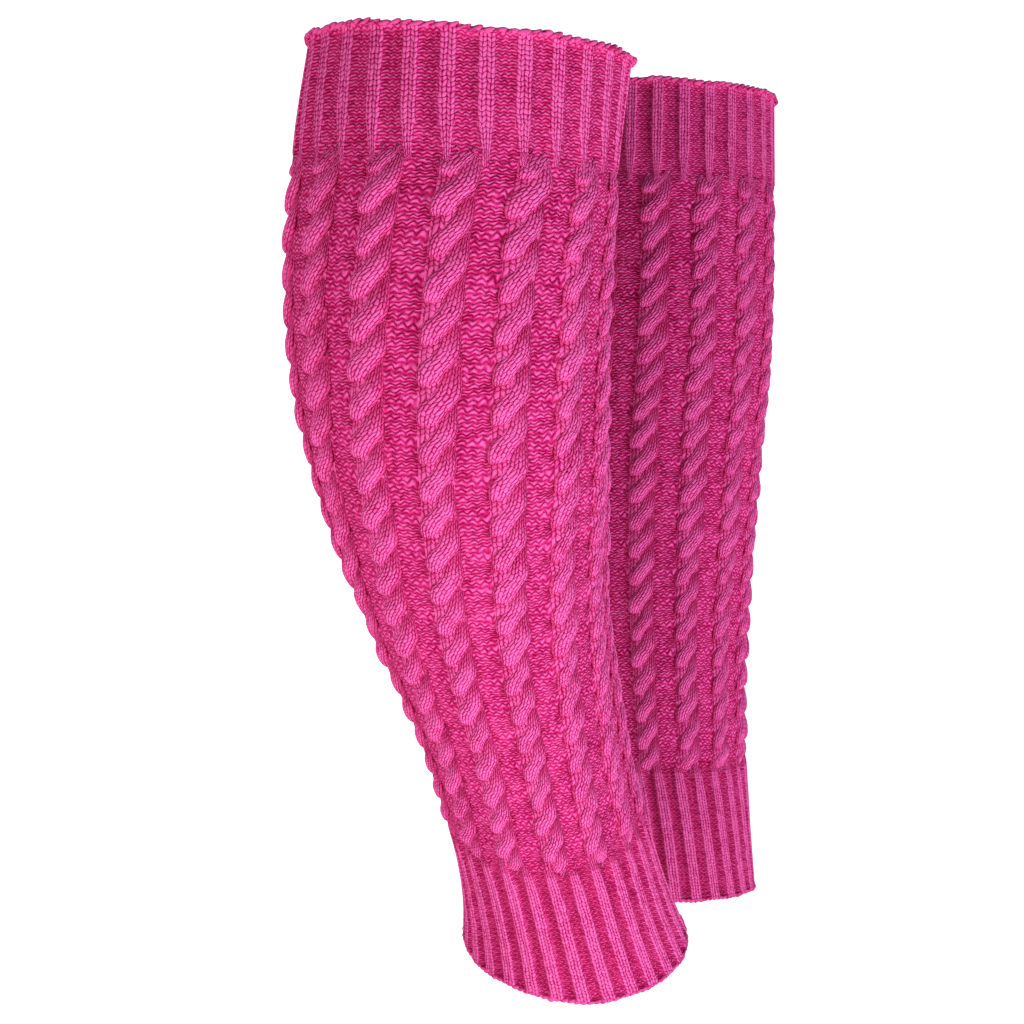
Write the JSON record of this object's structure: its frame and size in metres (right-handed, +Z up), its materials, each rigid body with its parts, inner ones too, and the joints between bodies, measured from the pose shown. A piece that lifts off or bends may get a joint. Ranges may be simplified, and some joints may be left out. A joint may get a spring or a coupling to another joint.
{
  "type": "pair of cable-knit leg warmers",
  "caption": "Pair of knitted leg warmers, filled out as worn: ribbed top cuff, cabled leg and flared ribbed ankle cuff, each an open tube.",
  "frame": {"origin": "middle of the near leg warmer at its calf, where the wearer's leg holds it", "axes": "+X to the right as seen from the front, +Y away from the front towards the far leg warmer, +Z up the legs"},
  "size_m": [0.2312, 0.384, 0.434],
  "materials": {
    "cable_knit": "matt, softly fuzzy knitted yarn in hot pink, with cables on a purl ground",
    "rib_knit": "matt, softly fuzzy knitted yarn in hot pink, in knit and purl ribs"
  },
  "bodies": {
    "root": {"near_top_cuff": "rib_knit", "near_cable_leg": "cable_knit", "near_ankle_cuff": "rib_knit", "far_top_cuff": "rib_knit", "far_cable_leg": "cable_knit", "far_ankle_cuff": "rib_knit"}
  },
  "joints": []
}
